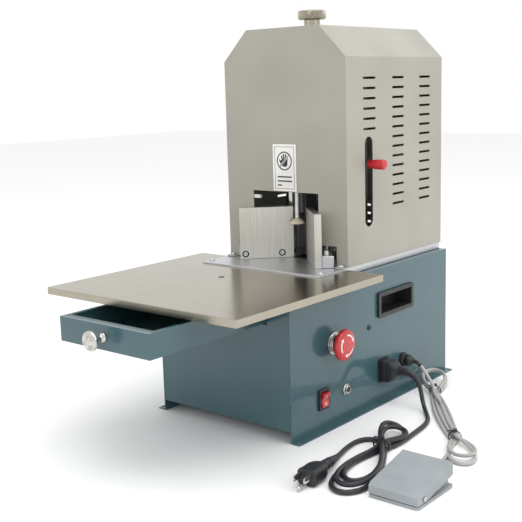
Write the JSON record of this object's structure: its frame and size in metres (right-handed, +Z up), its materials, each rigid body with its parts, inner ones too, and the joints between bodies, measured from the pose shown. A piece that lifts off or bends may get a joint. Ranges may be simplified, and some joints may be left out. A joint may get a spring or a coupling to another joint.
{
  "type": "paper corner-rounding machine",
  "caption": "Motorised desktop corner rounder for paper stacks: sheet table, angled fences, hooded vertical punch, chip drawer, side controls, foot switch and mains lead.",
  "frame": {"origin": "middle of the footprint of the machine with its foot switch, at bench height, cords left out", "axes": "+Z up from the table face; -Y towards the operator, out of the table and drawer; +X towards the control side"},
  "size_m": [0.4612, 0.572, 0.5065],
  "materials": {
    "paint_teal": "gloss dark teal enamel",
    "paint_cream": "fine-textured cream enamel",
    "stainless": "brushed stainless sheet",
    "steel": "ground steel",
    "dark_steel": "oiled dark steel",
    "chrome": "bright chrome plate",
    "aluminium": "brushed aluminium",
    "cast_iron": "grey casting",
    "black_plastic": "fine-grained moulding",
    "red_plastic": "glossy red moulding",
    "white_plastic": "white plastic",
    "grey_plastic": "light grey moulding",
    "cream_rubber": "cream rubber",
    "black_rubber": "black flexible jacket",
    "grey_rubber": "grey flexible jacket"
  },
  "bodies": {
    "machine": {"side_panel_right": "paint_teal", "side_panel_left": "paint_teal", "front_panel": "paint_teal", "rear_panel": "paint_teal", "bottom_plate": "paint_teal", "hood": "paint_cream", "hood_rear_cover": "paint_cream", "table_top": "stainless", "bed_plate": "steel", "drawer_rails": "steel", "column_plate": "steel", "top_bridge": "steel", "fence_foot_left": "steel", "fence_foot_right": "steel", "die_block": "dark_steel", "table_support": "dark_steel", "guide_column_left": "chrome", "guide_column_right": "chrome", "presser_guide": "chrome", "estop_bezel": "chrome", "fuse_holder": "chrome", "pedal_pin": "chrome", "fence_left": "aluminium", "fence_right": "aluminium", "gearbox": "cast_iron", "motor": "cast_iron", "estop_contact_block": "black_plastic", "switch_housing": "black_plastic", "handle_right": "black_plastic", "handle_left": "black_plastic", "mains_inlet": "black_plastic", "pedal_gland": "black_plastic", "pedal_switch": "black_plastic", "warning_plate": "white_plastic", "opening_bumper": "white_plastic", "control_box": "grey_plastic", "pedal_base": "grey_plastic", "mains_connector": "black_rubber", "mains_cord": "black_rubber", "mains_hank": "black_rubber", "mains_tail": "black_rubber", "wall_plug": "black_rubber", "pedal_cord": "grey_rubber", "pedal_hank": "grey_rubber", "pedal_tail": "grey_rubber"},
    "drawer": {"drawer_tray": "paint_teal", "drawer_knob": "chrome"},
    "ram": {"ram_yoke": "dark_steel", "knife_holder": "dark_steel", "corner_knife": "dark_steel"},
    "crank": {"crank_disc": "steel"},
    "hood_nut": {"hood_knob": "stainless"},
    "presser": {"presser_arm": "steel", "presser_rod": "chrome", "presser_foot": "cream_rubber"},
    "presser_grip": {"presser_knob": "red_plastic"},
    "estop_plunger": {"estop_stem": "steel"},
    "estop_head": {"estop_button": "red_plastic"},
    "rocker": {"switch_rocker": "red_plastic"},
    "pedal": {"pedal_cover": "grey_plastic"}
  },
  "joints": [
    {"name": "drawer_slide", "type": "slide", "parent": "machine", "child": "drawer", "axis": [0, -1, 0], "range_m": [-0.1855, 0.02]},
    {"name": "ram_slide", "type": "slide", "parent": "machine", "child": "ram", "axis": [0, 0, 1], "range_m": [-0.062, 0]},
    {"name": "crank_turn", "type": "hinge", "parent": "machine", "child": "crank", "pos_m": [-0.08205, 0.13205, 0.385], "axis": [0, 1, 0], "range_deg": [0, 180]},
    {"name": "hood_knob_turn", "type": "hinge", "parent": "machine", "child": "hood_nut", "pos_m": [-0.08205, 0.11755, 0.5], "axis": [0, 0, 1], "continuous": true},
    {"name": "presser_slide", "type": "slide", "parent": "machine", "child": "presser", "axis": [0, 0, 1], "range_m": [-0.044, 0.024]},
    {"name": "presser_knob_turn", "type": "hinge", "parent": "presser", "child": "presser_grip", "pos_m": [0.02795, 0.10135, 0.312], "axis": [1, 0, 0], "range_deg": [0, 360]},
    {"name": "estop_press", "type": "slide", "parent": "machine", "child": "estop_plunger", "axis": [-1, 0, 0], "range_m": [0, 0.004], "stiffness_N_per_m": 2500, "springref_m": -0.003},
    {"name": "estop_twist", "type": "hinge", "parent": "estop_plunger", "child": "estop_head", "pos_m": [0.03595, 0.00795, 0.1027], "axis": [1, 0, 0], "range_deg": [0, 45], "stiffness_Nm_per_rad": 0.05},
    {"name": "rocker_tilt", "type": "hinge", "parent": "machine", "child": "rocker", "pos_m": [0.01925, -0.01545, 0.0385], "axis": [0, 1, 0], "range_deg": [-14, 0]},
    {"name": "pedal_press", "type": "hinge", "parent": "machine", "child": "pedal", "pos_m": [0.20095, -0.13165, 0.0079], "axis": [-1, 0, 0], "range_deg": [0, 6], "stiffness_Nm_per_rad": 6, "springref_deg": -2.86}
  ],
  "couplings": [
    {"joint": "crank_turn", "follows": "ram_slide", "rad_per_m": -50.671}
  ]
}
